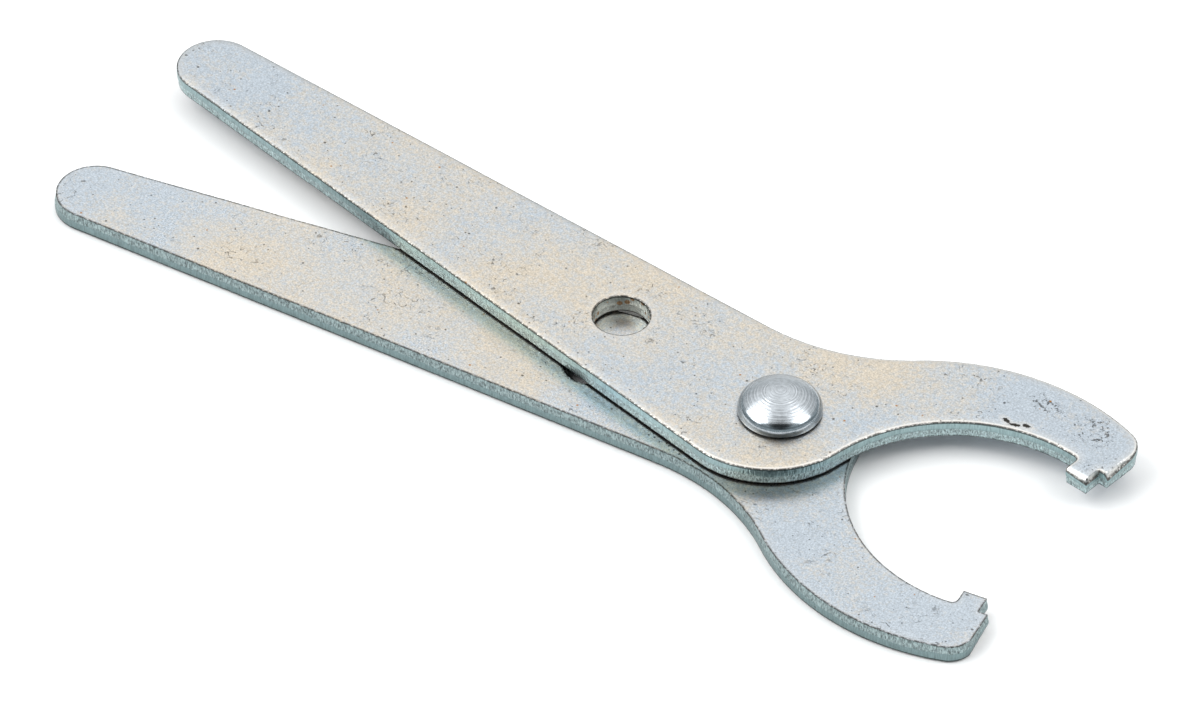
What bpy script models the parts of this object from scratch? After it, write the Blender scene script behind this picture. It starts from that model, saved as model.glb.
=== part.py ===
"""Case back opener: two equal stamped steel levers that turn on one domed rivet.

Metres, +Z up. The origin is on the pivot's axis at the underside. +X runs along the line midway
between the levers, towards the jaws, and -X towards the handles.
"""

import math

import bmesh
import bpy
from mathutils import Matrix, Vector

MM = 0.001

# Both levers are cut from one sheet, and pieces that touch keep this gap.
SHEET = 2.7 * MM
RUNNING_GAP = 0.3 * MM
EDGE_ROUND = 0.2 * MM

# Handle: it tapers to a round end, and its midline passes a little beside the pivot.
HANDLE_REACH = 104.5 * MM
HANDLE_END_RADIUS = 5.5 * MM
HANDLE_TAPER = math.radians(3.9)
HANDLE_OFFSET = 0.4 * MM
HANDLES_APART = math.radians(16)

# Jaw: an arch that curves to one side of the handle's line, with an outer end square to it.
NECK_RADIUS = 30.7 * MM
BACK_RADIUS = 32.8 * MM
BACK_CROWN = (29.8 * MM, 29.3 * MM)
ARCH_RADIUS = 23.2 * MM
ARCH_CROWN = (34.0 * MM, 20.2 * MM)
BOSS_RADIUS = 13.3 * MM
JAW_REACH = 40.1 * MM
CORNER_RADIUS = 3.5 * MM

# Tooth: a stepped lug at the jaw's end that drops into a case back's notch.
TOOTH_WIDTH = 3.5 * MM
TOOTH_HEIGHT = 2.7 * MM
STEP_WIDTH = 1.35 * MM
NOTCH_RADIUS = 0.8 * MM
TOOTH_THINNING = 0.7 * MM
END_BEVEL = 0.5 * MM

# Hole in the handle to hang the tool by.
HANGING_HOLE_DIAMETER = 7.8 * MM
HANGING_HOLE_REACH = 28.3 * MM

# The lower lever's hole was punched a little off its place, along and across the stamping.
LOWER_HOLE_DRIFT = Vector((0.3 * MM, 0.6 * MM))

# Rivet: a turned head over the upper lever, and a tail spread into the lower lever's countersink.
HEAD_DIAMETER = 11.5 * MM
HEAD_HEIGHT = 3.5 * MM
HEAD_RIM = 0.3 * MM
SHANK_DIAMETER = 6 * MM
TAIL_DIAMETER = 9 * MM
TAIL_DEPTH = 1.2 * MM

ARC_STEP = math.radians(5)
TURN_STEPS = 48
SHARP_ANGLE = math.radians(20)

STEEL_COLOUR = (0.60, 0.62, 0.62, 1)
RIVET_COLOUR = (0.52, 0.55, 0.57, 1)


def clear_scene():
    for obj in list(bpy.data.objects):
        bpy.data.objects.remove(obj, do_unlink=True)


def new_collection(name):
    collection = bpy.data.collections.new(name)
    bpy.context.scene.collection.children.link(collection)
    return collection


def new_material(name, colour, roughness):
    material = bpy.data.materials.new(name)
    material.use_nodes = True
    principled = material.node_tree.nodes["Principled BSDF"]
    principled.inputs["Base Color"].default_value = colour
    principled.inputs["Roughness"].default_value = roughness
    principled.inputs["Metallic"].default_value = 1
    material.diffuse_color = colour
    return material


def angle_of(vector):
    return math.atan2(vector.y, vector.x)


def arc(centre, radius, start, end):
    """Points along an arc, from one angle to another, both included."""
    steps = max(2, math.ceil(abs(end - start) / ARC_STEP))
    angles = [start + (end - start) * i / steps for i in range(steps + 1)]
    return [centre + radius * Vector((math.cos(a), math.sin(a))) for a in angles]


def circle(centre, diameter):
    return arc(centre, diameter / 2, 0, math.tau)[:-1]


def centre_beside_edge(edge_point, edge_direction, radius, other, distance):
    """Centre of an arc to the left of a straight edge, touching it, a set distance from another centre.

    Of the two answers, this is the one that lies back along the edge from the other centre.
    """
    left = Vector((-edge_direction.y, edge_direction.x))
    foot = edge_point + radius * left
    along = (other - foot).dot(edge_direction)
    off = (foot + along * edge_direction - other).length
    return foot + (along - math.sqrt(distance**2 - off**2)) * edge_direction


def lever_outline():
    """The lever's outline, counter-clockwise, and the y of its tooth's root.

    The pivot is at the origin, the handle runs along -X, and the jaw arches towards +Y.
    """
    end = Vector((-HANDLE_REACH, -HANDLE_OFFSET))
    outer_normal = Vector((-math.sin(HANDLE_TAPER), math.cos(HANDLE_TAPER)))
    inner_normal = Vector((outer_normal.x, -outer_normal.y))
    outer_run = Vector((math.cos(HANDLE_TAPER), math.sin(HANDLE_TAPER)))
    inner_run = Vector((outer_run.x, -outer_run.y))
    outer_edge = end + HANDLE_END_RADIUS * outer_normal
    inner_edge = end + HANDLE_END_RADIUS * inner_normal

    arch = Vector((ARCH_CROWN[0], ARCH_CROWN[1] - ARCH_RADIUS))
    back = Vector((BACK_CROWN[0], BACK_CROWN[1] - BACK_RADIUS))
    boss = centre_beside_edge(inner_edge, inner_run, BOSS_RADIUS, arch, BOSS_RADIUS + ARCH_RADIUS)
    neck = centre_beside_edge(outer_edge, outer_run, NECK_RADIUS, back, NECK_RADIUS + BACK_RADIUS)

    corner_x = JAW_REACH - CORNER_RADIUS
    corner_rise = math.sqrt((BACK_RADIUS - CORNER_RADIUS) ** 2 - (corner_x - back.x) ** 2)
    corner = Vector((corner_x, back.y + corner_rise))

    tooth_outer = JAW_REACH - STEP_WIDTH
    tooth_inner = tooth_outer - TOOTH_WIDTH
    notch_x = tooth_inner - NOTCH_RADIUS
    notch_drop = math.sqrt((ARCH_RADIUS - NOTCH_RADIUS) ** 2 - (notch_x - arch.x) ** 2)
    notch = Vector((notch_x, arch.y + notch_drop))
    tooth_root = notch.y + NOTCH_RADIUS
    tooth_end = tooth_root - TOOTH_HEIGHT

    to_arch = angle_of(arch - boss)
    to_back = angle_of(back - neck)
    to_corner = angle_of(corner - back)
    to_notch = angle_of(notch - arch)
    points = arc(end, HANDLE_END_RADIUS, angle_of(outer_normal), math.tau + angle_of(inner_normal))
    points += arc(boss, BOSS_RADIUS, angle_of(inner_normal), to_arch)
    points += arc(arch, ARCH_RADIUS, to_arch + math.pi, to_notch)[1:]
    points += arc(notch, NOTCH_RADIUS, to_notch, 0)[1:]
    points += [
        Vector((tooth_inner, tooth_end)),
        Vector((tooth_outer, tooth_end)),
        Vector((tooth_outer, tooth_root)),
        Vector((JAW_REACH, tooth_root)),
    ]
    points += arc(corner, CORNER_RADIUS, 0, to_corner)
    points += arc(back, BACK_RADIUS, to_corner, to_back + math.pi)[1:]
    points += arc(neck, NECK_RADIUS, to_back, angle_of(-outer_normal))[1:]
    return points, tooth_root


def add_loop(curve, points):
    spline = curve.splines.new("POLY")
    spline.points.add(len(points) - 1)
    for point, place in zip(spline.points, points):
        point.co = (place.x, place.y, 0, 1)
    spline.use_cyclic_u = True


def solid_mesh(obj):
    """The mesh that an unparented object makes, closed and shaded smooth. It takes the object's place."""
    graph = bpy.context.evaluated_depsgraph_get()
    mesh = bpy.data.meshes.new_from_object(obj.evaluated_get(graph))
    mesh.transform(obj.matrix_world)
    bpy.data.objects.remove(obj, do_unlink=True)
    solid = bmesh.new()
    solid.from_mesh(mesh)
    bmesh.ops.remove_doubles(solid, verts=solid.verts, dist=EDGE_ROUND / 100)
    bmesh.ops.recalc_face_normals(solid, faces=solid.faces)
    solid.to_mesh(mesh)
    solid.free()
    mesh.shade_smooth()
    mesh.set_sharp_from_angle(angle=SHARP_ANGLE)
    return mesh


def plate_mesh(name, loops):
    """A sheet with the first loop as its outline and the others as holes, its edges lightly rounded."""
    curve = bpy.data.curves.new(name, "CURVE")
    curve.dimensions = "2D"
    curve.fill_mode = "BOTH"
    curve.bevel_depth = EDGE_ROUND
    curve.bevel_resolution = 1
    curve.offset = -EDGE_ROUND
    curve.extrude = SHEET / 2 - EDGE_ROUND
    for points in loops:
        add_loop(curve, points)
    plate = bpy.data.objects.new(name, curve)
    bpy.context.scene.collection.objects.link(plate)
    return solid_mesh(plate)


def box_cutter(name, size, placing, cutters):
    """A box that hangs above its placing's own XY plane, hidden, for a Boolean."""
    solid = bmesh.new()
    bmesh.ops.create_cube(solid, size=1, matrix=Matrix.Diagonal((*size, 1)))
    bmesh.ops.translate(solid, verts=solid.verts, vec=(0, 0, size[2] / 2))
    return hidden_cutter(name, solid, placing, cutters)


def hidden_cutter(name, solid, placing, cutters):
    mesh = bpy.data.meshes.new(name)
    solid.to_mesh(mesh)
    solid.free()
    mesh.transform(placing)
    cutter = bpy.data.objects.new(name, mesh)
    cutter.hide_render = True
    cutter.display_type = "WIRE"
    cutters.objects.link(cutter)
    return cutter


def cut(obj, cutter):
    boolean = obj.modifiers.new(cutter.name, "BOOLEAN")
    boolean.operation = "DIFFERENCE"
    boolean.solver = "EXACT"
    boolean.object = cutter
    cutter.parent = obj


def tooth_cutter(name, tooth_root, cutters):
    """It thins the tooth on the rolled face, from full sheet at the root to less at the end."""
    middle = JAW_REACH - STEP_WIDTH - TOOTH_WIDTH / 2
    placing = Matrix.Translation((middle, tooth_root, SHEET / 2))
    placing @= Matrix.Rotation(math.atan2(TOOTH_THINNING, TOOTH_HEIGHT), 4, "X")
    placing @= Matrix.Translation((0, -TOOTH_HEIGHT, 0))
    width = TOOTH_WIDTH + 2 * NOTCH_RADIUS
    return box_cutter(name, (width, 2 * TOOTH_HEIGHT, SHEET), placing, cutters)


def end_cutter(name, tooth_root, cutters):
    """It bevels the jaw's outer end on the rolled face, and runs out at the rounded corner."""
    length = 2 * (BACK_CROWN[1] - tooth_root)
    placing = Matrix.Translation((JAW_REACH - END_BEVEL / 2, tooth_root, SHEET / 2 - END_BEVEL / 2))
    placing @= Matrix.Rotation(math.pi / 4, 4, "Y")
    return box_cutter(name, (2 * END_BEVEL, length, 2 * END_BEVEL), placing, cutters)


def countersink_cutter(name, cutters):
    """A cone that opens at the rolled face, for the rivet's tail with its gap."""
    overrun = RUNNING_GAP
    flare = (TAIL_DIAMETER - SHANK_DIAMETER) / 2 / TAIL_DEPTH
    narrow = SHANK_DIAMETER / 2 + RUNNING_GAP
    depth = TAIL_DEPTH + overrun
    solid = bmesh.new()
    bmesh.ops.create_cone(
        solid,
        cap_ends=True,
        segments=TURN_STEPS,
        radius1=narrow,
        radius2=narrow + flare * depth,
        depth=depth,
    )
    placing = Matrix.Translation((0, 0, SHEET / 2 + overrun - depth / 2))
    return hidden_cutter(name, solid, placing, cutters)


def lever(name, material, hole_drift, parts, cutters):
    """One stamping, its rolled face up and its middle plane at z = 0."""
    outline, tooth_root = lever_outline()
    bore = circle(Vector((0, 0)), SHANK_DIAMETER + 2 * RUNNING_GAP)
    hole_centre = Vector((-HANGING_HOLE_REACH, -HANDLE_OFFSET)) + hole_drift
    hanging_hole = circle(hole_centre, HANGING_HOLE_DIAMETER)
    mesh = plate_mesh(name, [outline, bore, hanging_hole])
    mesh.materials.append(material)
    obj = bpy.data.objects.new(name, mesh)
    parts.objects.link(obj)
    cut(obj, tooth_cutter(name + "_tooth_cutter", tooth_root, cutters))
    cut(obj, end_cutter(name + "_end_cutter", tooth_root, cutters))
    return obj


def upper_lever(material, pivot, parts, cutters):
    obj = lever("upper_lever", material, Vector((0, 0)), parts, cutters)
    obj.parent = pivot
    obj.location.z = 1.5 * SHEET + RUNNING_GAP
    obj.rotation_euler.z = -HANDLES_APART / 2


def lower_lever(material, pivot, parts, cutters):
    """The same stamping turned over, so that its rolled face is underneath."""
    obj = lever("lower_lever", material, LOWER_HOLE_DRIFT, parts, cutters)
    cut(obj, countersink_cutter("lower_lever_countersink", cutters))
    obj.parent = pivot
    obj.location.z = SHEET / 2
    obj.rotation_euler = (math.pi, 0, HANDLES_APART / 2)


def rivet_profile():
    """(radius, height) down the rivet's outer side, from the top of its head to its tail."""
    under_head = 2 * (SHEET + RUNNING_GAP)
    dome_base = under_head + HEAD_RIM
    dome = HEAD_HEIGHT - HEAD_RIM
    profile = []
    for i in range(13):
        angle = math.pi / 2 * (1 - i / 12)
        profile.append((HEAD_DIAMETER / 2 * math.cos(angle), dome_base + dome * math.sin(angle)))
    profile[0] = (0, under_head + HEAD_HEIGHT)
    profile.append((HEAD_DIAMETER / 2 - HEAD_RIM, under_head))
    profile.append((SHANK_DIAMETER / 2, under_head))
    profile.append((SHANK_DIAMETER / 2, TAIL_DEPTH))
    profile.append((TAIL_DIAMETER / 2, 0))
    profile.append((0, 0))
    return profile


def pivot_rivet(material, pivot, parts):
    points = [(radius, 0, height) for radius, height in rivet_profile()]
    edges = [(i, i + 1) for i in range(len(points) - 1)]
    profile = bpy.data.meshes.new("rivet_profile")
    profile.from_pydata(points, edges, [])
    turned = bpy.data.objects.new("rivet_profile", profile)
    bpy.context.scene.collection.objects.link(turned)
    screw = turned.modifiers.new("Turned", "SCREW")
    screw.axis = "Z"
    screw.angle = math.tau
    screw.steps = TURN_STEPS
    screw.render_steps = TURN_STEPS
    screw.use_merge_vertices = True
    screw.merge_threshold = 0.00001
    mesh = solid_mesh(turned)
    mesh.materials.append(material)
    obj = bpy.data.objects.new("pivot_rivet", mesh)
    obj.parent = pivot
    parts.objects.link(obj)


def main():
    clear_scene()
    parts = new_collection("Case back opener")
    cutters = new_collection("Cutters")
    pivot = bpy.data.objects.new("pivot_axis", None)
    parts.objects.link(pivot)
    upper_lever(new_material("Plated sheet steel, upper", STEEL_COLOUR, 0.35), pivot, parts, cutters)
    lower_lever(new_material("Plated sheet steel, lower", STEEL_COLOUR, 0.3), pivot, parts, cutters)
    pivot_rivet(new_material("Turned steel", RIVET_COLOUR, 0.25), pivot, parts)


if __name__ == "__main__":
    main()
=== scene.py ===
"""Case back opener: the fine shape and the finishes of its two stamped levers and its turned rivet.

Metres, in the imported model's frame. The origin is on the pivot's axis at the underside, +X runs
towards the jaws, -X towards the handles, and +Z is up. Shapes are worked out in millimetres.
"""

import math

import bmesh
import bpy
import numpy as np
from mathutils import Matrix, Vector, geometry, kdtree, noise


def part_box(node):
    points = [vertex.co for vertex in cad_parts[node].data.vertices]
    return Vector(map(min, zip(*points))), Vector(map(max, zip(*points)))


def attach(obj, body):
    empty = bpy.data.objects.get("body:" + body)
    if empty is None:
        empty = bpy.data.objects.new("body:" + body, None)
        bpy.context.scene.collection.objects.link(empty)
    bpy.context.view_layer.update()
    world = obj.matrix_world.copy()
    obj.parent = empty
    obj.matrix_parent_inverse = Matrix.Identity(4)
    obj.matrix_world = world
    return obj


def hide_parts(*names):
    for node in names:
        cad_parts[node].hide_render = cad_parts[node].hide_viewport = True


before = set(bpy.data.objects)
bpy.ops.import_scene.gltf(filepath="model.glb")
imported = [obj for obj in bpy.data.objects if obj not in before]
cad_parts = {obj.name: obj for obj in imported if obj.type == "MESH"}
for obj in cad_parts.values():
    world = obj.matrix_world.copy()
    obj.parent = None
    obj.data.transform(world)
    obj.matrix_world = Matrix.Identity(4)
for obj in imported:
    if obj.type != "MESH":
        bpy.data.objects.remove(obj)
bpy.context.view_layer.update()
MM = 0.001
LOWER_BURR_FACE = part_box("lower_lever")[1].z
UPPER_BURR_FACE, UPPER_ROLLED_FACE = (corner.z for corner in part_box("upper_lever"))
RIVET_LOW, RIVET_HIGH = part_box("pivot_rivet")

bl_info = {
    "name": "Case back opener",
    "version": (1, 0, 0),
    "blender": (4, 5, 0),
    "location": "3D View > Sidebar > Case back opener",
    "description": "Builds a watchmaker's case back opener: two stamped levers on one turned rivet",
    "category": "Object",
}


# Sizes and colours that a user would change


def length(name, description, millimetres):
    return bpy.props.FloatProperty(
        name=name,
        description=description,
        default=millimetres * MM,
        min=0,
        unit="LENGTH",
        subtype="DISTANCE",
        precision=5,
    )


def angle(name, description, degrees):
    return bpy.props.FloatProperty(
        name=name,
        description=description,
        default=math.radians(degrees),
        unit="ROTATION",
        subtype="ANGLE",
    )


def srgb(code):
    """Linear red, green and blue of a six-figure sRGB hex colour."""
    parts = [int(code[i : i + 2], 16) / 255 for i in (0, 2, 4)]
    return [p / 12.92 if p <= 0.04045 else ((p + 0.055) / 1.055) ** 2.4 for p in parts]


def colour(name, description, code):
    return bpy.props.FloatVectorProperty(
        name=name,
        description=description,
        default=srgb(code),
        size=3,
        min=0,
        max=1,
        subtype="COLOR",
    )


class LeverSizes(bpy.types.PropertyGroup):
    """The blank that both levers are stamped to.

    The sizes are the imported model's, but for the facet at the jaw's end and the hole's drift across.
    """

    sheet: length("Sheet", "Thickness of the sheet steel", LOWER_BURR_FACE / MM)
    handle_reach: length("Handle reach", "Pivot to the centre of the handle's round end", 104.5)
    handle_end_radius: length("Handle end radius", "Radius of the handle's round end", 5.5)
    handle_taper: angle("Handle taper", "Slope of each side of the handle", 3.9)
    handle_offset: length("Handle offset", "How far the handle's midline passes from the pivot", 0.4)
    handles_apart: angle("Handles apart", "Angle between the two levers at rest", 16)
    neck_radius: length("Neck radius", "Hollow outer side between handle and jaw", 30.7)
    back_radius: length("Back radius", "Outer side of the jaw", 32.8)
    back_crown_x: length("Back crown X", "Highest point of the jaw's outer side, along", 29.8)
    back_crown_y: length("Back crown Y", "Highest point of the jaw's outer side, across", 29.3)
    arch_radius: length("Arch radius", "Inner side of the jaw", 23.2)
    arch_crown_x: length("Arch crown X", "Highest point of the jaw's inner side, along", 34.0)
    arch_crown_y: length("Arch crown Y", "Highest point of the jaw's inner side, across", 20.2)
    boss_radius: length("Boss radius", "Round swell beside the pivot", 13.3)
    jaw_reach: length("Jaw reach", "Pivot to the jaw's outer end", 40.1)
    corner_radius: length("Corner radius", "Round corner of the jaw's outer end", 3.5)
    tooth_width: length("Tooth width", "Width of the lug at the jaw's end", 3.5)
    tooth_height: length("Tooth height", "Height of the lug at the jaw's end", 2.7)
    tooth_thinning: length("Tooth thinning", "How much thinner the lug is at its end", 0.7)
    step_width: length("Step width", "Shoulder outside the lug", 1.35)
    notch_radius: length("Notch radius", "Fillet inside the lug", 0.8)
    facet_width: length("Facet width", "Width of the steep facet ground along the jaw's outer end", 0.38)
    facet_height: length("Facet height", "Height of that facet beside the lug", 0.95)
    hole_diameter: length("Hole diameter", "Hole to hang the tool by", 7.8)
    hole_reach: length("Hole reach", "Pivot to the hanging hole", 28.3)
    hole_drift_x: length("Hole drift X", "How far the lower lever's hole is off, along", 0.3)
    hole_drift_y: length("Hole drift Y", "How far the lower lever's hole is off, across", 0.7)
    bore_diameter: length("Bore diameter", "Hole for the rivet's shank", 6.6)
    countersink_diameter: length("Countersink diameter", "Mouth of the cone for the rivet's tail", 9.6)
    countersink_depth: length("Countersink depth", "Depth of the cone for the rivet's tail", 1.2)


class PressMarks(bpy.types.PropertyGroup):
    """What the blanking press leaves on the edge of a part."""

    spread: length("Spread", "How far the burnished band stands out past the blank's outline", 0.1)
    roll_width: length("Roll width", "How far the drawn-down edge reaches into the face", 1.3)
    roll_depth: length("Roll depth", "How far the edge is drawn down", 0.24)
    hole_roll_width: length("Hole roll width", "The same round a punched hole", 0.45)
    hole_roll_depth: length("Hole roll depth", "The same round a punched hole", 0.12)
    tear_height: length("Tear height", "Height of the torn band above the burr face", 1.3)
    tear_inset: length("Tear inset", "How far the torn band leans in by the burr face", 0.16)
    tear_roughness: length("Tear roughness", "Depth of the torn band's grain", 0.05)
    grain: length("Grain", "Distance between points along an edge", 0.3)


class RivetSizes(bpy.types.PropertyGroup):
    """The turned rivet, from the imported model's box where that gives a size."""

    head_diameter: length("Head diameter", "Across the domed head", (RIVET_HIGH.x - RIVET_LOW.x) / MM)
    head_base: length("Head base", "Height of the head's underside", 6.0)
    crown_radius: length("Crown radius", "Radius of the shallow crown inside the shoulder", 4.85)
    crown_sag: length("Crown sag", "How far the crown falls to the shoulder", 1.7)
    shank_diameter: length("Shank diameter", "Across the shank", 6.0)
    tail_diameter: length("Tail diameter", "Across the spread tail", 9.0)
    tail_depth: length("Tail depth", "Depth of the spread tail's cone", 1.2)
    ring_pitch: length("Ring pitch", "Feed of the lathe tool across the dome", 0.42)
    ring_depth: length("Ring depth", "Depth of the rings the tool leaves", 0.013)
    ring_reach: length("Ring reach", "Radius where the rings fade out", 4.7)
    pip_radius: length("Pip radius", "Groove round the centre the lathe left", 0.72)
    turns: bpy.props.IntProperty(
        name="Turns", description="Faces round the rivet", default=180, min=24, max=360
    )


class Finishes(bpy.types.PropertyGroup):
    """Colours of the plating, of the cut edges and of what wear has left on them."""

    zinc_cool: colour("Cool zinc", "Plating where it is thin and bluish", "B1BAC2")
    zinc_warm: colour("Warm zinc", "Plating where handling has warmed it", "C8BFB0")
    zinc_worn: colour("Worn zinc", "Plating rubbed bright on a drawn-down edge", "DAD4CA")
    # This colour also paints the highlight along the rims and facets, near the pivot and the jaw.
    zinc_bright_and_highlight: colour("Bright zinc", "Plating polished on the rims and facets", "EAE7E1")
    sheared: colour("Sheared edge", "Smooth band that the die burnished", "A0B8BA")
    torn: colour("Torn edge", "Grainy band where the sheet broke", "A4B5B6")
    turned: colour("Turned steel", "The rivet", "B8BEC3")
    rust: colour("Rust", "Specks where the plating has failed", "A06A1A")
    # Also the colour of the painted shade under the upper lever's edges and on the lower lever's hole wall.
    grime_and_painted_shade: colour("Grime", "Pits, scratches and dirt in corners", "2A2722")


class Studio(bpy.types.PropertyGroup):
    """Where the camera stands, and the light round the object."""

    azimuth: angle("Azimuth", "Camera's place round the object", 34.49)
    elevation: angle("Elevation", "Camera's height above the floor", 42.35)
    roll: angle("Roll", "Camera's turn about its own line of sight", 0.22)
    distance: length("Distance", "Camera to the pivot", 1254.7)
    aim_left: length("Aim left", "How far left of the pivot the camera aims", 25.29)
    aim_up: length("Aim up", "How far above the pivot the camera aims", 7.75)
    lens: bpy.props.FloatProperty(
        name="Lens", description="Focal length", default=286.8, unit="CAMERA", min=1
    )
    floor_size: length("Floor size", "Side of the pale floor", 7000)
    floor_colour: colour("Floor", "Matt pale floor", "FAFAFA")
    zenith: colour("Zenith", "Light from straight above", "FFFFFF")
    horizon: colour("Horizon", "Light from low round the walls", "9CA7AB")


class OpenerSettings(bpy.types.PropertyGroup):
    """Everything the operators read."""

    lever: bpy.props.PointerProperty(type=LeverSizes)
    press: bpy.props.PointerProperty(type=PressMarks)
    rivet: bpy.props.PointerProperty(type=RivetSizes)
    finish: bpy.props.PointerProperty(type=Finishes)
    studio: bpy.props.PointerProperty(type=Studio)


def in_millimetres(group):
    """A group's lengths in millimetres, and its other values as they are, by name."""
    values = {}
    for name, prop in group.bl_rna.properties.items():
        if name in ("rna_type", "name"):
            continue
        value = getattr(group, name)
        values[name] = value / MM if getattr(prop, "unit", "") == "LENGTH" else value
    return values


# The blank's outline


def arc(centre, radius, start, end, grain):
    """Points along an arc, from one angle to another, both included."""
    steps = max(4, math.ceil(abs(end - start) * radius / grain))
    angles = [start + (end - start) * i / steps for i in range(steps + 1)]
    return [centre + radius * Vector((math.cos(a), math.sin(a))) for a in angles]


def angle_of(vector):
    return math.atan2(vector.y, vector.x)


def centre_beside_edge(edge_point, direction, radius, other, distance):
    """Centre of an arc to the left of a straight edge, touching it, a set distance from another.

    Of the two answers, this is the one that lies back along the edge from the other centre.
    """
    foot = edge_point + radius * Vector((-direction.y, direction.x))
    along = (other - foot).dot(direction)
    off = (foot + along * direction - other).length
    return foot + (along - math.sqrt(distance**2 - off**2)) * direction


def eased_corner(before, corner, after, radius):
    """A right-angled corner with a small radius on it."""
    start = corner + radius * (before - corner).normalized()
    end = corner + radius * (after - corner).normalized()
    return [
        (1 - t) ** 2 * start + 2 * t * (1 - t) * corner + t**2 * end
        for t in (0, 0.25, 0.5, 0.75, 1)
    ]


def lever_outline(s, grain):
    """The blank's outline, counter-clockwise with its handle along -X, and the y of its lug's root."""
    end = Vector((-s["handle_reach"], -s["handle_offset"]))
    taper = s["handle_taper"]
    outer_normal = Vector((-math.sin(taper), math.cos(taper)))
    inner_normal = Vector((outer_normal.x, -outer_normal.y))
    outer_run = Vector((math.cos(taper), math.sin(taper)))
    inner_run = Vector((outer_run.x, -outer_run.y))
    outer_edge = end + s["handle_end_radius"] * outer_normal
    inner_edge = end + s["handle_end_radius"] * inner_normal
    arch_radius, back_radius = s["arch_radius"], s["back_radius"]
    boss_radius, neck_radius = s["boss_radius"], s["neck_radius"]
    corner_radius, notch_radius = s["corner_radius"], s["notch_radius"]

    arch = Vector((s["arch_crown_x"], s["arch_crown_y"] - arch_radius))
    back = Vector((s["back_crown_x"], s["back_crown_y"] - back_radius))
    boss = centre_beside_edge(inner_edge, inner_run, boss_radius, arch, boss_radius + arch_radius)
    neck = centre_beside_edge(outer_edge, outer_run, neck_radius, back, neck_radius + back_radius)
    corner_x = s["jaw_reach"] - corner_radius
    corner_rise = math.sqrt((back_radius - corner_radius) ** 2 - (corner_x - back.x) ** 2)
    corner = Vector((corner_x, back.y + corner_rise))

    tooth_outer = s["jaw_reach"] - s["step_width"]
    tooth_inner = tooth_outer - s["tooth_width"]
    notch_x = tooth_inner - notch_radius
    notch_drop = math.sqrt((arch_radius - notch_radius) ** 2 - (notch_x - arch.x) ** 2)
    notch = Vector((notch_x, arch.y + notch_drop))
    root = notch.y + notch_radius
    tip = root - s["tooth_height"]

    to_arch, to_back = angle_of(arch - boss), angle_of(back - neck)
    to_corner, to_notch = angle_of(corner - back), angle_of(notch - arch)
    inner_angle = angle_of(inner_normal)
    points = arc(end, s["handle_end_radius"], angle_of(outer_normal), math.tau + inner_angle, grain)
    points += arc(boss, boss_radius, inner_angle, to_arch, grain)
    points += arc(arch, arch_radius, to_arch + math.pi, to_notch, grain)[1:]
    points += arc(notch, notch_radius, to_notch, 0, grain)[1:]
    stair = [
        Vector((tooth_inner, root - notch_radius)),
        Vector((tooth_inner, tip)),
        Vector((tooth_outer, tip)),
        Vector((tooth_outer, root)),
        Vector((s["jaw_reach"], root)),
        Vector((s["jaw_reach"], corner.y)),
    ]
    for before, at, after in zip(stair, stair[1:], stair[2:]):
        points += eased_corner(before, at, after, 0.5 * grain)
    points += arc(corner, corner_radius, 0, to_corner, grain)
    points += arc(back, back_radius, to_corner, to_back + math.pi, grain)[1:]
    points += arc(neck, neck_radius, to_back, angle_of(-outer_normal), grain)[1:]
    return even_steps(points, grain), root


def even_steps(points, grain):
    """A closed run of points with its long sides divided."""
    even = []
    for here, there in zip(points, points[1:] + points[:1]):
        parts = max(1, round((there - here).length / grain))
        even += [here.lerp(there, i / parts) for i in range(parts)]
    return np.array([tuple(p) for p in even])


def hole_outline(x, y, diameter, grain):
    """A hole's edge, clockwise, so that its walls face into it as the outline's face out."""
    points = arc(Vector((x, y)), diameter / 2, math.tau, 0, grain)[:-1]
    return np.array([tuple(p) for p in points])


def outward(loop):
    """Unit normals of a closed run of points, away from the metal."""
    along = np.roll(loop, -1, axis=0) - np.roll(loop, 1, axis=0)
    along /= np.linalg.norm(along, axis=1)[:, None]
    return np.stack([along[:, 1], -along[:, 0]], axis=1)


def distance_to(loop, places):
    """Each place's distance from a closed run of points, its sides included."""
    start, side = loop, np.roll(loop, -1, axis=0) - loop
    square = (side**2).sum(axis=1)
    least = np.full(len(places), np.inf)
    for i in range(0, len(places), 500):
        gap = places[i : i + 500, None] - start[None]
        share = np.clip((gap * side).sum(axis=2) / square, 0, 1)
        gap -= share[..., None] * side
        least[i : i + 500] = np.sqrt((gap**2).sum(axis=2).min(axis=1))
    return least


def inside(loop, places):
    """Whether each place is inside a closed run of points."""
    x, y = places[:, 0, None], places[:, 1, None]
    x0, y0 = loop[:, 0], loop[:, 1]
    x1, y1 = np.roll(x0, -1), np.roll(y0, -1)
    spans = (y0 > y) != (y1 > y)
    rise = np.where(y1 == y0, 1, y1 - y0)
    return ((x < x0 + (y - y0) / rise * (x1 - x0)) & spans).sum(axis=1) % 2 == 1


# The blank as a solid: two faces that share one triangulation, and walls between them


def lattice(low, high, spacing, seed):
    """Places in a box, in staggered rows, each nudged a little."""
    random = np.random.default_rng(seed)
    rows = np.arange(low[1], high[1], spacing * 0.87)
    columns = np.arange(low[0], high[0], spacing)
    x, y = np.meshgrid(columns, rows)
    x = x + (np.arange(len(rows)) % 2 * spacing / 2)[:, None]
    places = np.stack([x.ravel(), y.ravel()], axis=1)
    return places + random.uniform(-0.12, 0.12, places.shape) * spacing


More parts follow.
